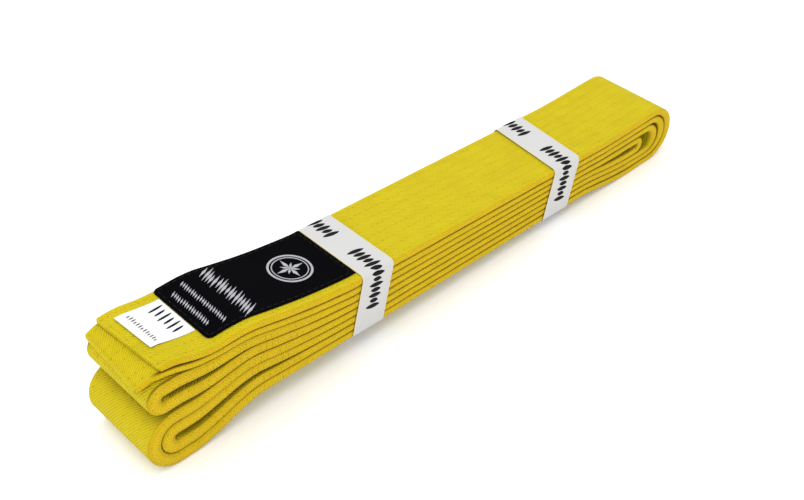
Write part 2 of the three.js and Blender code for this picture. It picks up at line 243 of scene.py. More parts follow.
def fold_centre(start_layer, end_layer, side, nose_x):
    """(x of the fold's centre, its radius, how much the strap swells at the nose)"""
    level_x = FAR_LEVEL_X if side > 0 else NEAR_LEVEL_X
    start = station(start_layer, level_x)
    radius = abs(start.z - station(end_layer, level_x).z) / 2
    swell = min(NOSE_SWELL, radius * NOSE_SWELL_SHARE) if side > 0 else 0.0
    return nose_x - side * (radius + (start.thickness + swell) / 2), radius, swell


def fold(start_layer, end_layer, side, nose_x):
    centre_x, radius, swell = fold_centre(start_layer, end_layer, side, nose_x)
    start = station(start_layer, centre_x)
    end = station(end_layer, centre_x)
    stations = []
    for step in range(FOLD_STEPS + 1):
        angle = math.pi * step / FOLD_STEPS
        x = centre_x + side * radius * math.sin(angle)
        z = mix(start.z, end.z, (1 - math.cos(angle)) / 2)
        stations.append(Station(x, z, start.thickness + swell * math.sin(angle) ** 2))
    return stations


def tip(layer, tip_x):
    """Stations of a sewn tip, from its very end inwards: the cloth is turned in and rounds off."""
    stations = []
    for step in range(TIP_STEPS + 1):
        angle = math.pi / 2 * step / TIP_STEPS
        x = tip_x + TIP_DEPTH * (1 - math.cos(angle))
        at = station(layer, x)
        thickness = at.thickness * mix(TIP_SHARE, 1, math.sin(angle))
        stations.append(Station(x, at.z, thickness, TIP_CORNER * (1 - math.sin(angle))))
    return stations


def pinch(at, seam_x):
    """The seam across a tip draws the cloth together."""
    squeeze = SEAM_PINCH * math.exp(-(((at.x - seam_x) / SEAM_WIDTH) ** 2))
    return at._replace(thickness=at.thickness * (1 - squeeze))


def tip_place(layer):
    return LABELLED_TIP_X if layer == 1 else PLAIN_TIP_X


def lean(layer, x):
    """How far the cloth is drawn along the strap for each metre across it."""
    return TIP_LEAN[layer] * ease(x, tip_place(layer) + LEAN_LENGTH, tip_place(layer))


def drawn(layer, x):
    """How far the near edge of a free end has drawn in."""
    return TIP_DRAWN[layer] * ease(x, tip_place(layer) + DRAWN_LENGTH, tip_place(layer))


def drawn_in(y, most):
    """A place across the strap, once its near edge has drawn in by most."""
    return y + most * max(0, -y / HALF_WIDTH)


def free_end(layer, tip_x):
    """Stations of a free end from its tip to the cut, which isn't included."""
    inner_x = tip_x + TIP_DEPTH
    seam_x = tip_x + SEAM_INSET
    close = [station(layer, inner_x + step * SEAM_STEP) for step in range(1, SEAM_STEPS + 1)]
    rest = leg(layer, close[-1].x, CUT_X)
    stations = [pinch(at, seam_x) for at in tip(layer, tip_x) + close + rest]
    return [at._replace(lean=lean(layer, at.x), drawn=drawn(layer, at.x)) for at in stations]


def strap_route():
    """(stations from the labelled tip to the plain tip, index of the first cut, index of the second)"""
    route = free_end(1, LABELLED_TIP_X)
    first_cut = len(route)
    route.append(station(1, CUT_X))
    x = CUT_X
    for start_layer, end_layer, side, nose_x in FOLDS:
        centre_x = fold_centre(start_layer, end_layer, side, nose_x)[0]
        route += leg(start_layer, x, centre_x)
        route += fold(start_layer, end_layer, side, nose_x)
        x = centre_x
    route += leg(2, x, CUT_X)
    second_cut = len(route)
    route.append(station(2, CUT_X))
    route += reversed(free_end(2, PLAIN_TIP_X))
    return route, first_cut, second_cut


def lengths_along(route):
    """Distance from the first station to each station."""
    along = [0.0]
    for before, after in zip(route, route[1:]):
        along.append(along[-1] + math.hypot(after.x - before.x, after.z - before.z))
    return along


def normals_along(route):
    """Unit normal in X and Z at each station, to the left of the way: up on layer 1."""
    normals = []
    for i in range(len(route)):
        before, after = route[max(i - 1, 0)], route[min(i + 1, len(route) - 1)]
        normal = Vector((before.z - after.z, after.x - before.x))
        normals.append(normal.normalized())
    return normals


# ---- Meshes ----


def section(flat, low, high, thickness, depth, steps, power):
    """Points round a flat section, as (across, height over its middle, distance across the cloth)."""
    half = thickness / 2
    points = [(y, half, y) for y in flat]
    for step in range(1, steps):
        angle = math.pi * step / steps
        out = math.sin(angle) ** power
        up = math.copysign(abs(math.cos(angle)) ** power, math.cos(angle))
        round_it = high - depth + min(step, steps - step) * math.pi * half / steps
        points.append((high - depth + depth * out, half * up, round_it))
    points += [(y, -half, y) for y in reversed(flat)]
    for step in range(steps - 1, 0, -1):
        angle = math.pi * step / steps
        out = math.sin(angle) ** power
        up = math.copysign(abs(math.cos(angle)) ** power, math.cos(angle))
        round_it = low + depth - min(step, steps - step) * math.pi * half / steps
        points.append((low + depth - depth * out, half * up, round_it))
    return points


def mesh_piece(name, rows, material, smooth_angle=50):
    """One mesh from closed lofts: rows is a list of lofts, a loft a list of rings.

    A ring is a list of (point, place on the cloth), and for the strap how it faces other cloth.
    """
    bm = bmesh.new()
    uv_layer = bm.loops.layers.uv.new("cloth")
    facing_layer = bm.loops.layers.uv.new("facing")
    uv_of = {}
    facing_of = {}
    for rings in rows:
        loft = [[bm.verts.new(entry[0]) for entry in ring] for ring in rings]
        for made, ring in zip(loft, rings):
            for vertex, (_, uv, *facing) in zip(made, ring):
                uv_of[vertex] = uv
                facing_of[vertex] = facing[0] if facing else (0.0, 0.0)
        for before, after in zip(loft, loft[1:]):
            for j in range(len(before)):
                k = (j + 1) % len(before)
                bm.faces.new((before[j], before[k], after[k], after[j]))
        bm.faces.new(loft[0])
        bm.faces.new(list(reversed(loft[-1])))
    bmesh.ops.recalc_face_normals(bm, faces=bm.faces)
    for face in bm.faces:
        face.smooth = True
        for loop in face.loops:
            loop[uv_layer].uv = uv_of[loop.vert]
            loop[facing_layer].uv = facing_of[loop.vert]
    mesh = bpy.data.meshes.new(name)
    bm.to_mesh(mesh)
    bm.free()
    mesh.set_sharp_from_angle(angle=math.radians(smooth_angle))
    mesh.materials.append(material)
    piece = bpy.data.objects.new(name, mesh)
    bpy.context.scene.collection.objects.link(piece)
    return piece


# ---- The strap ----

SWAY_HELD = 0.16 * MM  # how far the edges wander where the bands hold them
SWAY_LOOSE = 0.75 * MM
SWAY_LENGTH = 85 * MM
RUFFLE = 0.09 * MM
RUFFLE_LENGTH = 7 * MM
DIMPLE = 0.03 * MM
DIMPLE_LENGTH = 6 * MM
LOOSE_DIMPLE = 2.5  # times as deep where the cloth is loose
HELD_BESIDE_NEAR_BAND = 20 * MM
HELD_BESIDE_FAR_BAND = 14 * MM


def looseness(x):
    """0 between the bands, 1 well outside them."""
    near = ease(x, NEAR_BAND_X - HELD_BESIDE_NEAR_BAND, NEAR_LEVEL_X)
    far = ease(x, FAR_BAND_X + HELD_BESIDE_FAR_BAND, FAR_LEVEL_X)
    return max(near, far)


def wander(along, scale, seed):
    """A smooth random value between about -1 and 1."""
    return noise.noise(Vector((along / scale, seed, 0.5 * seed)))


def face_columns():
    """Places across the strap's broad faces, close together at the rows of sewing."""
    columns = []
    for row in range(SEW_ROWS):
        middle = (row - (SEW_ROWS - 1) / 2) * SEW_PITCH
        columns += [middle + offset for offset in (-SEW_MARGIN, -SEW_WIDTH, 0, SEW_WIDTH, SEW_MARGIN)]
    edge = HALF_WIDTH - EDGE_DEPTH
    return [-edge] + [y for y in columns if abs(y) < edge - 0.2 * MM] + [edge]


def sewn_in(y):
    """How deep the rows of sewing draw the surface in."""
    offset = (y / SEW_PITCH - 0.5) % 1
    distance = min(offset, 1 - offset) * SEW_PITCH
    inside = abs(y) < HALF_WIDTH - EDGE_DEPTH
    return SEW_DEPTH * math.exp(-((distance / SEW_WIDTH) ** 2)) if inside else 0.0


FACING_REACH = 8 * MM  # cloth further off than this doesn't shade
HALF_STRAP = 6 * MM  # more than half of the thickest strap


def facing_cloth(route, normals, along, cuts):
    """For each station, for its left and its right face, what facing_side says."""
    tree = kdtree.KDTree(len(route))
    for i, at in enumerate(route):
        tree.insert((at.x, 0, at.z), i)
    tree.balance()
    faces = []
    for i in range(len(route)):
        faces.append([facing_side(route, normals, along, cuts, tree, i, side) for side in (1, -1)])
    return faces


def facing_side(route, normals, along, cuts, tree, i, side):
    """(how closely other cloth lies over this face from 0 to 1, 1 if no free end can lift off it)"""
    at = route[i]
    out = normals[i] * side
    face = Vector((at.x, at.z)) + out * at.thickness / 2
    found = []
    for _, j, _ in tree.find_range((at.x, 0, at.z), FACING_REACH + HALF_STRAP):
        apart = Vector((route[j].x, route[j].z)) - face
        beside = abs(apart.dot(Vector((normals[j].y, -normals[j].x)))) < LEG_STEP * 0.55
        if abs(along[i] - along[j]) > 3 * at.thickness and apart.dot(out) > 0 and beside:
            found.append((abs(apart.dot(normals[j])) - route[j].thickness / 2, j))
    if not found:
        return 0.0, 0.0
    gap, nearest = min(found)
    always = all(cuts[0] < index < cuts[1] for index in (i, nearest))
    return 1 - share_of(gap, 0, FACING_REACH) ** 0.5, float(always)


def strap_ring(at, normal, along, facing):
    """The strap's section at one station, with the small irregularities of woven cotton."""
    half = HALF_WIDTH - at.inset
    scale = half / HALF_WIDTH
    flat = [y * scale for y in face_columns()]
    loose = looseness(at.x)
    sway = mix(SWAY_HELD, SWAY_LOOSE, loose) * wander(along, SWAY_LENGTH, 3.1)
    ring = []
    for y, height, across in section(flat, -half, half, at.thickness, EDGE_DEPTH, EDGE_STEPS, EDGE_POWER):
        edge_share = abs(y / HALF_WIDTH) ** 6
        ruffle = RUFFLE * wander(along, RUFFLE_LENGTH, 11 if y > 0 else 23) * edge_share
        face = math.copysign(1, height) if abs(height) > 0.3 * at.thickness else 0
        spot = Vector((along / DIMPLE_LENGTH, y / DIMPLE_LENGTH, 5 + 3 * face))
        dimple = mix(1, LOOSE_DIMPLE, loose) * DIMPLE * noise.noise(spot)
        height -= face * (sewn_in(y) - dimple)
        side = drawn_in(y, at.drawn) + sway + ruffle
        point = (at.x + at.lean * y + normal.x * height, side, at.z + normal.y * height)
        ring.append((point, (along, across), facing[0 if height > 0 else 1]))
    return ring


def add_strap(material):
    """The three stretches of the one strap: (labelled end, pack, plain end)."""
    route, first_cut, second_cut = strap_route()
    normals, along = normals_along(route), lengths_along(route)
    facing = facing_cloth(route, normals, along, (first_cut, second_cut))
    rings = [strap_ring(*each) for each in zip(route, normals, along, facing)]
    stretches = [
        ("labelled_end_strap", rings[: first_cut + 1]),
        ("folded_strap", rings[first_cut : second_cut + 1]),
        ("plain_end_strap", rings[second_cut:]),
    ]
    return [mesh_piece(name, [loft], material) for name, loft in stretches]


# ---- Sheets and threads that lie on a surface ----
# A surface is a function of (first, second, lift) that gives a point. On a free end, first is X and
# second is Y. On a band, first runs round the band and second across its width.


def on_layer(layer):
    def surface(x, y, lift):
        at = station(layer, x)
        side = drawn_in(y, drawn(layer, x))
        return Vector((x + lean(layer, x) * y, side, at.z + at.thickness / 2 + lift))

    return surface


def spaced(start, end, step, rims):
    """Places from start to end about one step apart, with more near both ends."""
    inner = rims[-1]
    count = max(1, round((end - start - 2 * inner) / step))
    middle = [start + inner + i * (end - start - 2 * inner) / count for i in range(1, count)]
    return [start + rim for rim in rims] + middle + [end - rim for rim in reversed(rims)]


def rim_share(distance, rim):
    """Share of its thickness that a sheet has at this distance from its cut edge."""
    inside = share_of(distance, 0, rim)
    return mix(0.35, 1, math.sqrt(1 - (1 - inside) ** 2))


def sheet_piece(name, surface, low, high, bottom, thickness, material, corner=0.0, relief=None):
    """A thin sheet over low..high, the corners at its low end rounded. relief(x, y) lifts it."""
    rims = [share * thickness for share in (0, 0.15, 0.4, 0.8)]
    half, middle_y = (high.y - low.y) / 2, (high.y + low.y) / 2
    across = spaced(-1, 1, 1.5 * MM / half, [rim * MM / half for rim in (0, 0.6, 2.6, 3.4)])
    rings = []
    for x in sorted(spaced(low.x, high.x, 1.5 * MM, rims) + corner_stops(low.x, corner)):
        reach = half - corner_cut(x - low.x, corner)
        thick = thickness * rim_share(min(x - low.x, high.x - x), rims[-1])
        flat = [share * (reach - thick / 2) for share in across]
        ring = []
        for y, height, _ in section(flat, -reach, reach, thick, thick / 2, 6, 1):
            place = middle_y + y
            lift = bottom + thickness / 2 + height + (relief(x, place) if relief else 0)
            ring.append((surface(x, place, lift), (x, place)))
        rings.append(ring)
    return mesh_piece(name, [rings], material, smooth_angle=70)


def corner_cut(distance, radius):
    """How far a rounded corner cuts in from the side, at this distance from the end."""
    left = radius - distance
    return radius - math.sqrt(radius**2 - left**2) if 0 < left else 0.0


def corner_stops(start, radius):
    steps = 6 if radius else 0
    return [start + radius * (1 - math.cos(math.pi / 2 * i / steps)) for i in range(1, steps)]


def bar(start, end, width, power=0.35, steps=6):
    """A straight stroke whose ends taper: power 0.35 gives blunt ends, 1 pointed ones."""
    stroke = []
    for i in range(steps + 1):
        share = max(math.sin(math.pi * i / steps), 0.02) ** power
        stroke.append((Vector(start).lerp(Vector(end), i / steps), width * share))
    return stroke


def lozenge(start, end, width, steps=6):
    stroke = []
    for i in range(steps + 1):
        share = max(1 - abs(2 * i / steps - 1), 0.04)
        stroke.append((Vector(start).lerp(Vector(end), i / steps), width * share))
    return stroke


def circle(middle, radius, width, steps=48):
    stroke = []
    for i in range(steps + 1):
        angle = 2 * math.pi * i / steps
        stroke.append((Vector(middle) + radius * Vector((math.cos(angle), math.sin(angle))), width))
    return stroke


def stroke_rings(stroke, surface, lift, height):
    """Rings across a raised stroke: flat underneath and domed on top."""
    rings = []
    along = 0.0
    for i, (point, width) in enumerate(stroke):
        before, after = stroke[max(i - 1, 0)][0], stroke[min(i + 1, len(stroke) - 1)][0]
        way = (after - before).normalized()
        side = Vector((-way.y, way.x))
        along += (point - stroke[max(i - 1, 0)][0]).length
        ring = []
        for angle in (0, 35, 65, 90, 115, 145, 180):
            across = math.cos(math.radians(angle)) * width / 2
            spot = point + side * across
            raised = lift + height * math.sin(math.radians(angle))
            ring.append((surface(spot.x, spot.y, raised), (along, across)))
        rings.append(ring)
    return rings


def strokes_piece(name, strokes, surface, lift, height, material):
    """Threads or ink: every stroke is a small closed body of its own in one mesh."""
    lofts = [stroke_rings(stroke, surface, lift, height) for stroke in strokes]
    return mesh_piece(name, lofts, material, smooth_angle=60)


def stitch_row(start, end, length, pitch_along, width):
    """Stitches from start to end."""
    start, end = Vector(start), Vector(end)
    count = round((end - start).length / pitch_along)
    way = (end - start).normalized()
    strokes = []
    for i in range(count):
        middle = start.lerp(end, (i + 0.5) / count)
        strokes.append(bar(middle - way * length / 2, middle + way * length / 2, width, steps=5))
    return strokes


# ---- Labels ----

LABEL_BOTTOM = 0.08 * MM
LABEL_THICKNESS = 0.42 * MM
LABEL_CORNER = 2.4 * MM
LABEL_HEM = 4.2 * MM
HEM_STEP = 1.2 * MM
HEM_HEIGHT = 0.1 * MM
PUCKER = 0.05 * MM
PUCKER_LENGTH = 6 * MM
TAB_THICKNESS = 0.25 * MM
STITCH_LENGTH = 2.5 * MM
STITCH_PITCH = 3.2 * MM
STITCH_WIDTH = 0.5 * MM
STITCH_HEIGHT = 0.2 * MM
THREAD_HEIGHT = 0.26 * MM
EMBLEM_MIDDLE = box_middle("emblem_embroidery").xy
EMBLEM_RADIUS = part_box("emblem_embroidery")[1].x - EMBLEM_MIDDLE.x
RING_WIDTH = 1 * MM
RING_INSET = 0.6 * MM
INNER_RING_WIDTH = 0.5 * MM
INNER_RING_INSET = 2.1 * MM
LONG_POINT = (0.66, 1.8 * MM)  # share of the emblem's radius, and width
SHORT_POINT = (0.42, 1.2 * MM)
ROW_SLANT = 0.5  # radians
ROW_UNEVEN = 0.12  # most that a stroke stands off its row's middle line, as a share of the row's height
LARGE_STROKE = 1.35 * MM
SMALL_STROKE = 0.9 * MM
SEWN_INSET = 1.5 * MM
TAB_CURL = 0.45 * MM
PRINT_HEIGHT = 0.02 * MM
LARGE_PRINT = 6  # marks in the size label's row of large ones
LARGE_PRINT_PITCH = 2.9 * MM
LARGE_PRINT_LENGTHS = (5.4 * MM, 7 * MM)
LARGE_PRINT_INSET = 4.6 * MM
LARGE_PRINT_WIDTH = 1.15 * MM
SMALL_PRINT = 13
SMALL_PRINT_PITCH = 1.45 * MM
SMALL_PRINT_LENGTHS = (1.5 * MM, 2.1 * MM, 2.1 * MM)
SMALL_PRINT_INSET = 3.1 * MM
SMALL_PRINT_WIDTH = 0.6 * MM


def label_relief(x, y):
    """The turned-in hem stands a little proud, and the cloth puckers between its stitches."""
    border = min(x - LABEL_LOW.x, LABEL_HIGH.x - x, y - LABEL_LOW.y, LABEL_HIGH.y - y)
    hem = HEM_HEIGHT * (1 - ease(border, LABEL_HEM - HEM_STEP, LABEL_HEM))
    pucker = PUCKER * noise.noise(Vector((x / PUCKER_LENGTH, y / PUCKER_LENGTH, 2)))
    return hem + pucker


def add_woven_label(surface, cloth, thread):
    label = sheet_piece(
        "woven_label_cloth", surface, LABEL_LOW, LABEL_HIGH, LABEL_BOTTOM, LABEL_THICKNESS, cloth,
        corner=LABEL_CORNER, relief=label_relief,
    )
    near, far = LABEL_LOW.y + SEWN_INSET, LABEL_HIGH.y - SEWN_INSET
    start, end = LABEL_LOW.x + SEWN_INSET, LABEL_HIGH.x - SEWN_INSET
    corners = [(start, near), (end, near), (end, far), (start, far)]
    rows = []
    for i, corner in enumerate(corners):
        rows += stitch_row(corner, corners[(i + 1) % 4], STITCH_LENGTH, STITCH_PITCH, STITCH_WIDTH)
    lift = LABEL_BOTTOM + LABEL_THICKNESS + 0.06 * MM
    stitches = strokes_piece("woven_label_thread", rows, surface, lift, STITCH_HEIGHT, thread)
    return label, stitches


def compass_strokes():
    """A plain geometric emblem: two rings round an eight-pointed star."""
    strokes = [
        circle(EMBLEM_MIDDLE, EMBLEM_RADIUS - RING_INSET, RING_WIDTH),
        circle(EMBLEM_MIDDLE, EMBLEM_RADIUS - INNER_RING_INSET, INNER_RING_WIDTH),
    ]
    for point in range(8):
        angle = math.pi * point / 4
        way = Vector((math.cos(angle), math.sin(angle)))
        reach, width = LONG_POINT if point % 2 == 0 else SHORT_POINT
        strokes.append(lozenge(EMBLEM_MIDDLE, EMBLEM_MIDDLE + way * EMBLEM_RADIUS * reach, width))
    return strokes


def row_strokes(node_name, count, width, lengths):
    """A line of parallel brush strokes across the label, in the box of the node that it stands for."""
    low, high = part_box(node_name)
    way = Vector((math.cos(ROW_SLANT), math.sin(ROW_SLANT)))
    strokes = []
    for i in range(count):
        y = mix(low.y + width, high.y - width, i / (count - 1))
        length = (high.x - low.x) * lengths[i % len(lengths)]
        shift = (high.x - low.x) * ROW_UNEVEN * wander(i * MM, 1.7 * MM, 7.3)
        middle = Vector(((low.x + high.x) / 2 + shift, y))
        strokes.append(lozenge(middle - way * length / 2, middle + way * length / 2, width))
    return strokes


def add_embroidery(surface, silver):
    """The silver motifs: (emblem, large row, small inner row, small outer row)."""
    lift = LABEL_BOTTOM + LABEL_THICKNESS - 0.03 * MM
    rows = [
        ("emblem_silver", compass_strokes()),
        ("large_motif_silver", row_strokes("large_motif_row", 17, LARGE_STROKE, (1, 0.72, 0.9, 0.64, 0.82))),
        ("small_motif_inner_silver", row_strokes("small_motif_row_inner", 21, SMALL_STROKE, (1, 0.8, 0.9))),
        ("small_motif_outer_silver", row_strokes("small_motif_row_outer", 17, SMALL_STROKE, (0.85, 1, 0.9))),
    ]
    return [strokes_piece(name, strokes, surface, lift, THREAD_HEIGHT, silver) for name, strokes in rows]


def tab_relief(x, _):
    """The size label's free edge curls up a little."""
    return TAB_CURL * share_of(x, TAB_HIGH.x, TAB_LOW.x) ** 3


def add_size_label(surface, satin, ink):
    tab = sheet_piece(
        "size_label_satin", surface, TAB_LOW, TAB_HIGH, LABEL_BOTTOM, TAB_THICKNESS, satin, relief=tab_relief
    )

    def printed(x, y, lift):
        return surface(x, y, lift + tab_relief(x, y))

    lift = LABEL_BOTTOM + TAB_THICKNESS
    marks = strokes_piece("size_label_marks", size_strokes(), printed, lift, PRINT_HEIGHT, ink)
    return tab, marks


def size_strokes():
    """A row of large marks and a row of small ones, in place of the size and the cloth's make-up."""
    strokes = []
    middle_y = (TAB_LOW.y + TAB_HIGH.y) / 2
    for i in range(LARGE_PRINT):
        y = middle_y + (i - (LARGE_PRINT - 1) / 2) * LARGE_PRINT_PITCH
        length = LARGE_PRINT_LENGTHS[i % 2]
        x = TAB_HIGH.x - LARGE_PRINT_INSET - length / 2
        strokes.append(bar((x, y - 0.5 * MM), (x + length, y + 0.5 * MM), LARGE_PRINT_WIDTH))
    for i in range(SMALL_PRINT):
        y = middle_y + (i - (SMALL_PRINT - 1) / 2) * SMALL_PRINT_PITCH
        x = TAB_LOW.x + SMALL_PRINT_INSET
        end_x = x + SMALL_PRINT_LENGTHS[i % 3]
        strokes.append(bar((x, y - 0.2 * MM), (end_x, y + 0.2 * MM), SMALL_PRINT_WIDTH))
    return strokes


# ---- Seams across the two tips ----

SEAM_END = 2 * MM  # a seam stops this far from the strap's sides
SEAM_SUNK = 0.42 * MM
SEAM_HEIGHT = 0.24 * MM


def seam_piece(name, layer, tip_x, thread):
    """The thread across a tip, sunk into the cloth that it draws together."""
    x = tip_x + SEAM_INSET
    half = HALF_WIDTH - SEAM_END
    row = stitch_row((x, -half), (x, half), STITCH_LENGTH, STITCH_PITCH, 0.7 * STITCH_WIDTH)
    return strokes_piece(name, row, on_layer(layer), -SEAM_SUNK, SEAM_HEIGHT, thread)


# ---- Paper bands ----

PAPER = 0.2 * MM
BAND_WIDTH = 16.5 * MM
BAND_SIDE_SLACK = 0.35 * MM
BAND_CORNER = 2.1 * MM
BAND_LAP = 16 * MM
BAND_GLUE = 0.15 * MM  # the gap that the glue fills
GLUE_FILM = 0.1 * MM
GLUE_INSET = 2 * MM
LAP_STEP = 3 * MM  # the paper steps down over this length before its lap
CORNER_STEPS = 6

# Skew is how far a band's edge runs off along the pack for each metre across it and up it
Band = namedtuple("Band", "name x slack skew_across skew_up")
BANDS = [
    Band("near_band", NEAR_BAND_X, 0.25 * MM, 0.0, 0.2),
    Band("far_band", FAR_BAND_X, 0.78 * MM, 0.1, 0.21),
]


def band_outline(band):
    """(points in Y and height over the pack's middle, that middle's Z), once round and with the lap."""
    bottom = layer_bottom(LAYERS, band.x)
    top = layer_bottom(1, band.x) + pitch(1, band.x) - SEEN_GAP
    middle = (bottom + top) / 2
    half_height = (top - bottom) / 2 + band.slack + PAPER / 2
    half = HALF_WIDTH + BAND_SIDE_SLACK + PAPER / 2
    inner_y, inner_z = half - BAND_CORNER, half_height - BAND_CORNER
    points = [Vector((-BAND_LAP / 2, -half_height))]
    corners = [(inner_y, -inner_z), (inner_y, inner_z), (-inner_y, inner_z), (-inner_y, -inner_z)]
    for turn, (y, z) in enumerate(corners):
        for step in range(CORNER_STEPS + 1):
            angle = math.pi / 2 * (turn - 1 + step / CORNER_STEPS)
            points.append(Vector((y + BAND_CORNER * math.cos(angle), z + BAND_CORNER * math.sin(angle))))
    tail = -half_height - PAPER - BAND_GLUE - 0.05 * MM
    step_end = -BAND_LAP / 2 - 1 * MM
    points.append(Vector((step_end - LAP_STEP, -half_height)))
    points.append(Vector((step_end, tail)))
    points.append(Vector((BAND_LAP / 2, tail)))
    return finely(points, 2.5 * MM), middle


def finely(points, step):
    """The same line with no stretch longer than step."""
    fine = [points[0]]
    for before, after in zip(points, points[1:]):
        count = max(1, math.ceil((after - before).length / step))
        fine += [before.lerp(after, i / count) for i in range(1, count + 1)]
    return fine


def distances(points):
    along = [0.0]
    for before, after in zip(points, points[1:]):
        along.append(along[-1] + (after - before).length)
    return along


def on_band(band):
    """(the band's surface, the distances round it of its outline's points)"""
    outline, middle = band_outline(band)
    along = distances(outline)
    up = Vector((-SLIDE.z, 0, SLIDE.x))
    centre = Vector((band.x, 0, middle))

    def surface(distance, across, lift):
        i = 0
        while i < len(along) - 2 and along[i + 1] < distance:
            i += 1
        share = (distance - along[i]) / (along[i + 1] - along[i])
        spot = outline[i].lerp(outline[i + 1], share)
        ahead, behind = outline[min(i + 2, len(outline) - 1)], outline[max(i - 1, 0)]
        way = (outline[i + 1] - behind).lerp(ahead - outline[i], share).normalized()
        spot = spot + Vector((way.y, -way.x)) * lift
        shift = across + band.skew_across * spot.x + band.skew_up * spot.y
        return centre + SLIDE * shift + Vector((0, spot.x, 0)) + up * spot.y

    return surface, along


def surface_ring(surface, distance, points, lift):
    """A section's points laid across a band, this far round it."""
    return [(surface(distance, across, lift + height), (distance, across)) for across, height, _ in points]


def band_paper(band, paper):
    surface, along = on_band(band)
    half = BAND_WIDTH / 2
    flat = spaced(-half + PAPER / 2, half - PAPER / 2, 2.4 * MM, [0, 0.3 * MM])
    points = section(flat, -half, half, PAPER, PAPER / 2, 4, 1)
    rings = [surface_ring(surface, distance, points, 0) for distance in along]
    return mesh_piece(f"{band.name}_paper", [rings], paper, smooth_angle=70)


def band_glue(band, glue):
    """The glue film in the lap."""
    surface, along = on_band(band)
    half = BAND_WIDTH / 2 - GLUE_INSET
    points = section([-half, 0, half], -half - GLUE_FILM, half + GLUE_FILM, GLUE_FILM, GLUE_FILM, 4, 1)
    lift = -(PAPER + BAND_GLUE) / 2
    rings = []
    for i in range(7):
        distance = along[-1] - mix(1 * MM, BAND_LAP - 1.5 * MM, i / 6)
        rings.append(surface_ring(surface, distance, points, lift))
    return mesh_piece(f"{band.name}_glue_film", [rings], glue)


MARK_PERIOD = 46 * MM  # round the band, from one group of strokes to the next
MARK_LENGTH = 31 * MM
MARK_STROKES = 13
STROKE_LENGTHS = (7.6 * MM, 5.4 * MM, 6.8 * MM, 4.6 * MM)
STROKE_WIDTH = 2.2 * MM
STROKE_LEAN = 0.7 * MM
MARK_START_Y = -6 * MM
MARK_CLEAR = 6 * MM  # of the lap
STROKE_SHIFT = 0.7 * MM  # most that a stroke stands off the group's middle line
INK_HEIGHT = 0.06 * MM


def band_marks(band, ink):
    """Groups of parallel brush strokes that repeat round the band."""
    surface, along = on_band(band)
    end = along[-1] - BAND_LAP - MARK_CLEAR
    strokes = []
    group_start = mark_start(band, along) % MARK_PERIOD - MARK_PERIOD
    while group_start < end:
        for i in range(MARK_STROKES):
            middle = group_start + MARK_LENGTH * i / (MARK_STROKES - 1)
            reach = STROKE_LENGTHS[i % len(STROKE_LENGTHS)] / 2
            off = STROKE_SHIFT * wander(i * MM, 1.6 * MM, 9.7)
            if 2 * MM < middle < end:
                first, last = (middle - STROKE_LEAN, off - reach), (middle + STROKE_LEAN, off + reach)
                strokes.append(bar(first, last, STROKE_WIDTH, power=0.6, steps=10))
        group_start += MARK_PERIOD
    return strokes_piece(f"{band.name}_marks", strokes, surface, PAPER / 2, INK_HEIGHT, ink)


def mark_start(band, along):
    """Where the group of marks starts that turns the corner from the top to the near side."""
    outline, _ = band_outline(band)
    top = [i for i, point in enumerate(outline) if point.y > max(p.y for p in outline) - 0.01 * MM]
    return along[min(top, key=lambda i: abs(outline[i].x - MARK_START_Y))]


# ---- Materials ----


def node(tree, kind, inputs, **settings):
    """A node whose inputs are numbers, colours or other nodes' sockets."""
    made = tree.nodes.new(kind)
    for name, value in settings.items():
        setattr(made, name, value)
    for key, value in inputs.items():
        if isinstance(value, bpy.types.NodeSocket):
            tree.links.new(value, made.inputs[key])
        else:
            made.inputs[key].default_value = value
    return made


def calc(tree, operation, first, second=0.0):
    return node(tree, "ShaderNodeMath", {0: first, 1: second}, operation=operation).outputs[0]


def wave(tree, value, period):
    """Runs from 0 to 1 and back once in each period."""
    turn = calc(tree, "SINE", calc(tree, "MULTIPLY", value, 2 * math.pi / period))
    return calc(tree, "MULTIPLY", calc(tree, "ADD", turn, 1.0), 0.5)


def speckle(tree, vector, scale, detail=3.0):
    inputs = {"Vector": vector, "Scale": scale, "Detail": detail}
    return node(tree, "ShaderNodeTexNoise", inputs).outputs[0]


def blend_colours(tree, share, first, second):
    made = node(tree, "ShaderNodeMix", {0: share, 6: (*first, 1) if isinstance(first, tuple) else first,
                                        7: (*second, 1) if isinstance(second, tuple) else second},
                data_type="RGBA")
    return made.outputs[2]


def remap(tree, value, low, high, to_low=0.0, to_high=1.0):
    inputs = {0: value, 1: low, 2: high, 3: to_low, 4: to_high}
    return node(tree, "ShaderNodeMapRange", inputs).outputs[0]


def bump(tree, height, distance, strength=1.0):
    inputs = {"Height": height, "Distance": distance, "Strength": strength}
    return node(tree, "ShaderNodeBump", inputs).outputs[0]


def new_material(name, roughness, **finish):
    """(material, tree, Principled shader), with its uniform values on the shader's own sockets."""
    material = bpy.data.materials.new(name)
    material.use_nodes = True
    shader = material.node_tree.nodes["Principled BSDF"]
    shader.inputs["Roughness"].default_value = roughness
    for socket, value in finish.items():
        shader.inputs[socket.replace("_", " ").title().replace("Ior", "IOR")].default_value = value
    return material, material.node_tree, shader


def cloth_place(tree):
    """(the place on the cloth in metres, along it, across it)"""
    uv = node(tree, "ShaderNodeUVMap", {}, uv_map="cloth").outputs[0]
    parts = node(tree, "ShaderNodeSeparateXYZ", {0: uv}).outputs
    return uv, parts[0], parts[1]


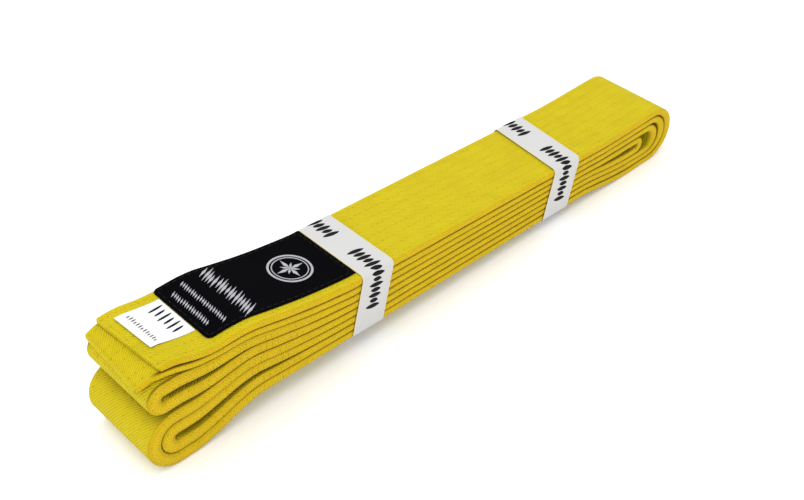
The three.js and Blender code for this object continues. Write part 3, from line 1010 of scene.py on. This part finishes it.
YELLOW = (0.66, 0.555, 0.004)
YELLOW_DEEP = (0.43, 0.30, 0.002)
PAINTED_SIDE_SHADE_YELLOW = (0.75, 0.468, 0.004)  # painted shade on the strap's rounded side edges, a deeper, oranger yellow than the top
SHADED = (0.10, 0.045, 0.0006)
TWILL_PITCH = 1.35 * MM
YARN_PITCH = 0.8 * MM
TWILL_SHARE = 0.6
YARN_SHARE = 0.25
FIBRE_SHARE = 0.35
TWILL_DRIFT = 0.5 * MM
WEAVE_DEPTH = 0.45 * MM
SIDE_SHADE_BLEND = 0.9 * MM
GROOVE_START = 0.35 * MM
GROOVE_END = 1.5 * MM
STITCH_HOLES = 3 * MM  # between needle holes
# Noise scales, in patches for each metre of cloth
DRIFT_SCALE = 260.0
FIBRE_SCALE = 2600.0
MOTTLE_SCALE = 110.0


def cotton_material():
    """Dyed cotton twill with rows of sewing along it, with painted shade where layer lies on layer and on its
    rounded side edges.
    """
    material, tree, shader = new_material(
        "belt_cotton", 0.9, sheen_weight=0.08, sheen_roughness=0.5, sheen_tint=(1, 0.9, 0.3, 1),
        specular_ior_level=0.15,
    )
    uv, along, across = cloth_place(tree)
    weave = weave_height(tree, uv, along, across)
    sewing = sewing_height(tree, along, across)
    height = calc(tree, "SUBTRACT", weave, calc(tree, "MULTIPLY", sewing, 0.8))
    mottle = remap(tree, speckle(tree, uv, MOTTLE_SCALE, 5.0), 0.3, 0.7, 0.0, 0.16)
    shade = calc(tree, "ADD", mottle, calc(tree, "MULTIPLY", calc(tree, "SUBTRACT", 1.0, weave), 0.72))
    shade = calc(tree, "ADD", shade, calc(tree, "MULTIPLY", sewing, 0.25))
    past_edge = calc(tree, "SUBTRACT", calc(tree, "ABSOLUTE", across), HALF_WIDTH - EDGE_DEPTH)
    # painted shade: the strap's rounded side edges blend towards a deeper, oranger yellow
    edge = remap(tree, past_edge, 0.0, SIDE_SHADE_BLEND, 0.0, 0.75)
    face_colour = blend_colours(tree, shade, YELLOW, YELLOW_DEEP)
    side_shade_colour = blend_colours(tree, shade, PAINTED_SIDE_SHADE_YELLOW, YELLOW_DEEP)
    cloth = blend_colours(tree, edge, face_colour, side_shade_colour)
    # painted shade between layers: the cloth turns towards the brown of SHADED where another layer lies on it
    contact = contact_shade(tree, past_edge)
    tree.links.new(blend_colours(tree, contact, cloth, SHADED), shader.inputs["Base Color"])
    tree.links.new(bump(tree, height, WEAVE_DEPTH, 1.0), shader.inputs["Normal"])
    return material


def weave_height(tree, uv, along, across):
    """Slanted twill lines that drift a little, yarns across them, and fibres."""
    drift = calc(tree, "MULTIPLY", speckle(tree, uv, DRIFT_SCALE), TWILL_DRIFT)
    slanted = calc(tree, "ADD", calc(tree, "ADD", along, across), drift)
    twill = calc(tree, "MULTIPLY", wave(tree, slanted, TWILL_PITCH), TWILL_SHARE)
    yarn = wave(tree, calc(tree, "SUBTRACT", along, across), YARN_PITCH)
    woven = calc(tree, "ADD", twill, calc(tree, "MULTIPLY", yarn, YARN_SHARE))
    fibre = calc(tree, "MULTIPLY", speckle(tree, uv, FIBRE_SCALE, 4.0), FIBRE_SHARE)
    return calc(tree, "ADD", woven, fibre)


def contact_shade(tree, past_edge):
    """How dark the cloth is where another layer lies on it: on the rounded edge, and inwards if it's shut."""
    groove = remap(tree, past_edge, GROOVE_START, GROOVE_END, 1.0, 0.0)
    facing = node(tree, "ShaderNodeUVMap", {}, uv_map="facing").outputs[0]
    closeness, always = node(tree, "ShaderNodeSeparateXYZ", {0: facing}).outputs[:2]
    inwards = calc(tree, "MAXIMUM", remap(tree, past_edge, -1.1 * MM, -0.2 * MM), always)
    return calc(tree, "MULTIPLY", calc(tree, "MULTIPLY", groove, inwards), closeness)


def sewing_height(tree, along, across):
    """1 in the needle holes of the rows of sewing, less along the thread between them, else 0."""
    row = calc(tree, "PINGPONG", calc(tree, "ADD", across, SEW_PITCH / 2 + 10 * SEW_PITCH), SEW_PITCH / 2)
    near_row = remap(tree, row, 0.0, 0.45 * MM, 1.0, 0.0)
    hole = remap(tree, wave(tree, along, STITCH_HOLES), 0.72, 1.0, 0.25, 1.0)
    return calc(tree, "MULTIPLY", near_row, hole)


def thread_material(name, colour, dark, roughness, twist, **finish):
    """Sewing or embroidery thread, whose plies show as slanted ridges."""
    material, tree, shader = new_material(name, roughness, **finish)
    uv, along, across = cloth_place(tree)
    ridge = wave(tree, calc(tree, "ADD", along, calc(tree, "MULTIPLY", across, 0.6)), twist)
    fibre = speckle(tree, uv, 5000.0)
    height = calc(tree, "ADD", ridge, calc(tree, "MULTIPLY", fibre, 0.4))
    shade = calc(tree, "MULTIPLY", calc(tree, "SUBTRACT", 1.3, height), 0.7)
    tree.links.new(blend_colours(tree, shade, colour, dark), shader.inputs["Base Color"])
    tree.links.new(bump(tree, height, 0.06 * MM, 0.9), shader.inputs["Normal"])
    return material


def label_material(name, colour, dark, roughness, rib, depth, **finish):
    """Fine woven label cloth: ribs one way, yarns the other."""
    material, tree, shader = new_material(name, roughness, **finish)
    uv, along, across = cloth_place(tree)
    ribs = wave(tree, along, rib)
    yarns = wave(tree, across, rib * 1.6)
    fibre = speckle(tree, uv, 4200.0)
    height = calc(tree, "ADD", calc(tree, "MULTIPLY", ribs, 0.6), calc(tree, "MULTIPLY", yarns, 0.4))
    height = calc(tree, "ADD", height, calc(tree, "MULTIPLY", fibre, 0.3))
    shade = calc(tree, "SUBTRACT", 1.2, height)
    tree.links.new(blend_colours(tree, shade, colour, dark), shader.inputs["Base Color"])
    tree.links.new(bump(tree, height, depth, 0.8), shader.inputs["Normal"])
    return material


def paper_material():
    """Coated white paper, a little warmer along its cut edges."""
    material, tree, shader = new_material("band_paper", 0.34, coat_weight=0.25, coat_roughness=0.2)
    uv, _, across = cloth_place(tree)
    fibre = speckle(tree, uv, 900.0, 5.0)
    cloud = speckle(tree, uv, 60.0)
    tint = blend_colours(tree, cloud, (0.51, 0.505, 0.50), (0.47, 0.47, 0.465))
    edge = remap(tree, calc(tree, "ABSOLUTE", across), BAND_WIDTH / 2 - 0.8 * MM, BAND_WIDTH / 2, 0.0, 0.85)
    tree.links.new(blend_colours(tree, edge, tint, (0.60, 0.52, 0.31)), shader.inputs["Base Color"])
    tree.links.new(bump(tree, fibre, 0.02 * MM, 0.35), shader.inputs["Normal"])
    return material


def ink_material():
    material, tree, shader = new_material("printing_ink", 0.7, specular_ior_level=0.08)
    uv, _, _ = cloth_place(tree)
    patch = speckle(tree, uv, 1800.0)
    colour = blend_colours(tree, patch, (0.002, 0.002, 0.003), (0.012, 0.012, 0.015))
    tree.links.new(colour, shader.inputs["Base Color"])
    tree.links.new(bump(tree, patch, 0.01 * MM, 0.4), shader.inputs["Normal"])
    return material


def glue_material():
    material, tree, shader = new_material("band_glue", 0.25)
    uv, _, _ = cloth_place(tree)
    patch = speckle(tree, uv, 400.0)
    colour = blend_colours(tree, patch, (0.75, 0.68, 0.48), (0.62, 0.54, 0.34))
    tree.links.new(colour, shader.inputs["Base Color"])
    tree.links.new(bump(tree, patch, 0.04 * MM, 0.6), shader.inputs["Normal"])
    return material


# ---- Putting the pieces in place, the pack and the bands on their bodies ----


def bend_up(piece, body, nodes):
    """The piece lies on a free end; the nodes that it stands for are hidden."""
    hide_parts(*nodes)
    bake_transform(piece)


def bend_tab(piece, nodes):
    """The piece stays where it lies on the free end; the nodes that it stands for are hidden."""
    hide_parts(*nodes)
    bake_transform(piece)


def ride_on(piece, body, nodes):
    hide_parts(*nodes)
    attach(piece, body)


def strap_nodes(prefix):
    return [prefix + part for part in ("cover", "core_ply_upper", "core_ply_lower")]


def build_strap():
    cotton = cotton_material()
    labelled, pack, plain = add_strap(cotton)
    ride_on(pack, "bundle", strap_nodes("belt_"))
    bend_up(labelled, "labelled_end", strap_nodes("labelled_end_"))
    bend_up(plain, "plain_end", strap_nodes("plain_end_"))
    thread = thread_material("belt_thread", (0.53, 0.42, 0.006), (0.36, 0.25, 0.003), 0.8, 0.5 * MM)
    for layer, prefix, tip_x in [(1, "labelled_end", LABELLED_TIP_X), (2, "plain_end", PLAIN_TIP_X)]:
        seam = seam_piece(f"{prefix}_seam_thread", layer, tip_x, thread)
        bend_up(seam, prefix, [f"{prefix}_seam"])
    return labelled


def build_labels():
    surface = on_layer(1)
    black = label_material(
        "woven_label", (0.0026, 0.0026, 0.0036), (0.0006, 0.0006, 0.0009), 0.85, 0.42 * MM, 0.04 * MM,
        specular_ior_level=0.02,
    )
    black_thread = thread_material(
        "label_thread", (0.005, 0.005, 0.007), (0.001, 0.001, 0.0015), 0.65, 0.5 * MM, specular_ior_level=0.1
    )
    silver = thread_material("silver_thread", (0.50, 0.50, 0.53), (0.20, 0.20, 0.24), 0.45, 0.42 * MM)
    satin = label_material(
        "size_label", (0.76, 0.77, 0.80), (0.60, 0.61, 0.64), 0.45, 0.3 * MM, 0.02 * MM, sheen_weight=0.15
    )
    label, stitches = add_woven_label(surface, black, black_thread)
    bend_up(label, "labelled_end", ["woven_label"])
    bend_up(stitches, "labelled_end", ["woven_label_stitches"])
    motifs = add_embroidery(surface, silver)
    nodes = ["emblem_embroidery", "large_motif_row", "small_motif_row_inner", "small_motif_row_outer"]
    for motif, stands_for in zip(motifs, nodes):
        bend_up(motif, "labelled_end", [stands_for])
    tab, marks = add_size_label(surface, satin, ink_material())
    bend_tab(tab, ["size_label"])
    bend_tab(marks, [])


def build_bands():
    paper, ink, glue = paper_material(), ink_material(), glue_material()
    for band in BANDS:
        ride_on(band_paper(band, paper), band.name, [f"{band.name}_strip"])
        ride_on(band_marks(band, ink), band.name, [])
        ride_on(band_glue(band, glue), band.name, [f"{band.name}_glue"])


# ---- Floor and light ----

FLOOR_HALF = 6.0
WORLD_LIGHT = 1.12


def add_floor():
    bm = bmesh.new()
    corners = [(-1, -1), (1, -1), (1, 1), (-1, 1)]
    bm.faces.new([bm.verts.new((x * FLOOR_HALF, y * FLOOR_HALF, 0)) for x, y in corners])
    mesh = bpy.data.meshes.new("floor")
    bm.to_mesh(mesh)
    bm.free()
    material, _, shader = new_material("floor", 0.9, specular_ior_level=0.1)
    shader.inputs["Base Color"].default_value = (0.95, 0.95, 0.95, 1)
    mesh.materials.append(material)
    floor = bpy.data.objects.new("floor", mesh)
    bpy.context.scene.collection.objects.link(floor)


def add_lamp(name, place, size, power):
    data = bpy.data.lights.new(name, "AREA")
    data.shape = "SQUARE"
    data.size = size
    data.energy = power
    lamp = bpy.data.objects.new(name, data)
    lamp.location = place
    lamp.rotation_mode = "QUATERNION"
    lamp.rotation_quaternion = Vector(place).to_track_quat("Z", "Y")
    bpy.context.scene.collection.objects.link(lamp)


def add_light():
    world = bpy.data.worlds.new("studio")
    world.use_nodes = True
    background = world.node_tree.nodes["Background"]
    background.inputs["Color"].default_value = (1, 1, 1, 1)
    background.inputs["Strength"].default_value = WORLD_LIGHT
    bpy.context.scene.world = world
    add_lamp("key", (-0.35, 0.1, 1.6), 1.6, 12.0)
    add_lamp("fill", (-0.7, -1.5, 0.7), 1.4, 4.0)


strap_with_labels = build_strap()
build_labels()
build_bands()
add_floor()
add_light()
